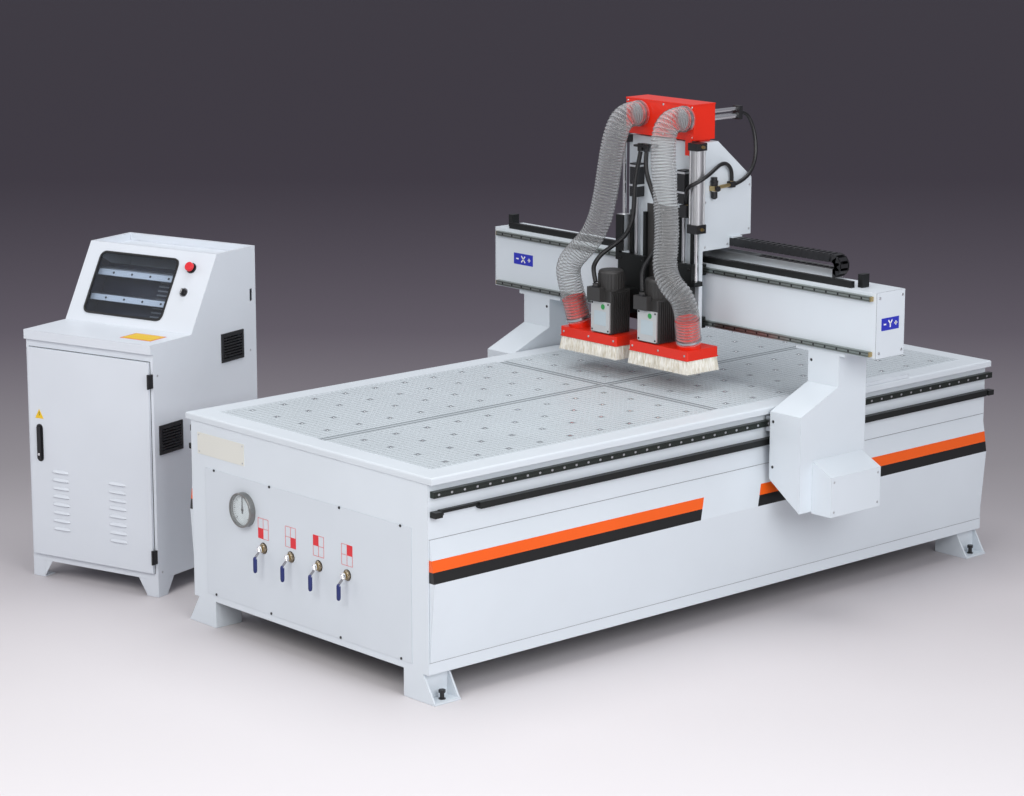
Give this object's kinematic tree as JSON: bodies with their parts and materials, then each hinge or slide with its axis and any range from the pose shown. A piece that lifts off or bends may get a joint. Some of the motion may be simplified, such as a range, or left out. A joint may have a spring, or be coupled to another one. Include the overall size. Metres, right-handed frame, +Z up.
{
  "type": "cnc router",
  "caption": "Flatbed woodworking router: vacuum table on a welded bed, travelling gantry, twin vertical spindles with dust hoods, and a separate control cabinet.",
  "frame": {"origin": "middle of the footprint of the machine and its cabinet, on the floor", "axes": "+X across the bed, from the control cabinet's side to the other; +Y along the bed, away from the end with the gauge and valves; +Z up"},
  "size_m": [2.9516, 3.1862, 1.943],
  "materials": {
    "white_paint": "semi-gloss",
    "panel_paint": "semi-gloss",
    "red_paint": "gloss",
    "steel": "satin",
    "dark_steel": "satin",
    "chrome": "polished",
    "alu": "satin",
    "deck": "matte",
    "black_plastic": "matte",
    "blue_plastic": "gloss",
    "red_plastic": "gloss",
    "brass": "satin",
    "bristle": "soft",
    "clear_hose": "clear",
    "window": "clear",
    "rubber": "matte",
    "cabinet_paint": "fine texture",
    "motor": "satin"
  },
  "bodies": {
    "base": {"bed_frame": "white_paint", "fasteners": "steel", "service_panels": "panel_paint", "side_skins": "white_paint", "tabletop": "panel_paint", "vacuum_deck": "deck", "y_rails": "steel", "y_racks": "dark_steel", "gauge_body": "black_plastic", "valve_bodies": "brass", "cabinet_shell": "cabinet_paint", "cabinet_trim": "black_plastic", "console_window": "window", "electronics_rack": "alu"},
    "needle": {"gauge_needle": "red_plastic"},
    "lever_1": {"valve_lever_1": "blue_plastic"},
    "lever_2": {"valve_lever_2": "blue_plastic"},
    "lever_3": {"valve_lever_3": "blue_plastic"},
    "lever_4": {"valve_lever_4": "blue_plastic"},
    "door": {"cabinet_door": "cabinet_paint", "door_handle": "black_plastic"},
    "stop_push": {"stop_button": "red_plastic"},
    "switch": {"switch_knob": "black_plastic"},
    "gantry": {"uprights": "white_paint", "gantry_beam": "white_paint", "x_rails": "steel", "x_rack": "dark_steel", "y_bearing_blocks": "steel", "y_drives": "motor", "chain_tray": "alu"},
    "y_shaft": {"y_pinions": "steel"},
    "carriage": {"saddle_plate": "white_paint", "carriage_guides": "steel", "rear_housing": "white_paint", "carriage_motors": "motor", "dust_manifold": "red_paint", "balance_cylinder": "alu", "air_fittings": "chrome", "chain_upper_run": "black_plastic", "air_tube_1": "rubber", "air_tube_2": "rubber"},
    "x_gear": {"x_pinion": "steel"},
    "chain_loop": {"chain_lower_run": "black_plastic"},
    "screw_1": {"z_screw_1": "steel"},
    "screw_2": {"z_screw_2": "steel"},
    "head_1": {"head_plate_1": "alu", "spindle_body_1": "motor", "dust_hood_1": "red_paint", "brush_skirt_1": "bristle", "dust_hose_1": "clear_hose", "spindle_cable_1": "rubber"},
    "head_2": {"head_plate_2": "alu", "spindle_body_2": "motor", "dust_hood_2": "red_paint", "brush_skirt_2": "bristle", "balance_rod": "chrome", "dust_hose_2": "clear_hose", "spindle_cable_2": "rubber"},
    "rotor_1": {"spindle_rotor_1": "steel"},
    "rotor_2": {"spindle_rotor_2": "steel"}
  },
  "joints": [
    {"name": "gantry_travel", "type": "slide", "parent": "base", "child": "gantry", "axis": [0, 1, 0], "range_m": [-1.55, 0.95]},
    {"name": "y_drive_spin", "type": "hinge", "parent": "gantry", "child": "y_shaft", "pos_m": [0.39081, 0.4291, 0.65], "axis": [1, 0, 0], "range_deg": [-3100, 1900]},
    {"name": "carriage_travel", "type": "slide", "parent": "gantry", "child": "carriage", "axis": [1, 0, 0], "range_m": [-0.65, 0.62]},
    {"name": "x_drive_spin", "type": "hinge", "parent": "carriage", "child": "x_gear", "pos_m": [0.39081, 0.4831, 1.3], "axis": [0, 0, 1], "range_deg": [-1600, 1650]},
    {"name": "chain_roll", "type": "slide", "parent": "carriage", "child": "chain_loop", "axis": [1, 0, 0], "range_m": [-0.33, 0.33], "deforming": ["chain_upper_run"]},
    {"name": "head_1_travel", "type": "slide", "parent": "carriage", "child": "head_1", "axis": [0, 0, 1], "range_m": [-0.035, 0.12], "deforming": ["dust_hose_1", "spindle_cable_1"]},
    {"name": "screw_1_spin", "type": "hinge", "parent": "carriage", "child": "screw_1", "pos_m": [0.25681, 0.3471, 1.06], "axis": [0, 0, 1], "range_deg": [-4400, 1300]},
    {"name": "rotor_1_spin", "type": "hinge", "parent": "head_1", "child": "rotor_1", "pos_m": [0.25681, 0.2071, 0.935], "axis": [0, 0, 1], "continuous": true},
    {"name": "head_2_travel", "type": "slide", "parent": "carriage", "child": "head_2", "axis": [0, 0, 1], "range_m": [-0.035, 0.12], "deforming": ["dust_hose_2", "spindle_cable_2"]},
    {"name": "screw_2_spin", "type": "hinge", "parent": "carriage", "child": "screw_2", "pos_m": [0.52481, 0.3471, 1.06], "axis": [0, 0, 1], "range_deg": [-4400, 1300]},
    {"name": "rotor_2_spin", "type": "hinge", "parent": "head_2", "child": "rotor_2", "pos_m": [0.52481, 0.2071, 0.935], "axis": [0, 0, 1], "continuous": true},
    {"name": "lever_1_turn", "type": "hinge", "parent": "base", "child": "lever_1", "pos_m": [0.14181, -1.5009, 0.382], "axis": [0, -1, 0], "range_deg": [0, 90]},
    {"name": "lever_2_turn", "type": "hinge", "parent": "base", "child": "lever_2", "pos_m": [0.30781, -1.5009, 0.382], "axis": [0, -1, 0], "range_deg": [0, 90]},
    {"name": "lever_3_turn", "type": "hinge", "parent": "base", "child": "lever_3", "pos_m": [0.47381, -1.5009, 0.382], "axis": [0, -1, 0], "range_deg": [0, 90]},
    {"name": "lever_4_turn", "type": "hinge", "parent": "base", "child": "lever_4", "pos_m": [0.63981, -1.5009, 0.382], "axis": [0, -1, 0], "range_deg": [0, 90]},
    {"name": "needle_turn", "type": "hinge", "parent": "base", "child": "needle", "pos_m": [0.02881, -1.4929, 0.511], "axis": [0, -1, 0], "range_deg": [-120, 120]},
    {"name": "door_swing", "type": "hinge", "parent": "base", "child": "door", "pos_m": [-0.67405, -1.41899, 0.5], "axis": [0, 0, 1], "range_deg": [0, 105]},
    {"name": "stop_press", "type": "slide", "parent": "base", "child": "stop_push", "axis": [-0.2392, 0.8278, -0.5075], "range_m": [0, 0.004], "stiffness_N_per_m": 600},
    {"name": "switch_turn", "type": "hinge", "parent": "base", "child": "switch", "pos_m": [-0.85293, -1.10619, 1.17549], "axis": [0.2392, -0.8278, 0.5075], "range_deg": [0, 90]}
  ],
  "couplings": [
    {"joint": "y_drive_spin", "follows": "gantry_travel", "rad_per_m": 33.898},
    {"joint": "x_drive_spin", "follows": "carriage_travel", "rad_per_m": -42.553},
    {"joint": "chain_roll", "follows": "carriage_travel", "ratio": -0.5},
    {"joint": "screw_1_spin", "follows": "head_1_travel", "rad_per_m": -628.32},
    {"joint": "screw_2_spin", "follows": "head_2_travel", "rad_per_m": -628.32}
  ]
}
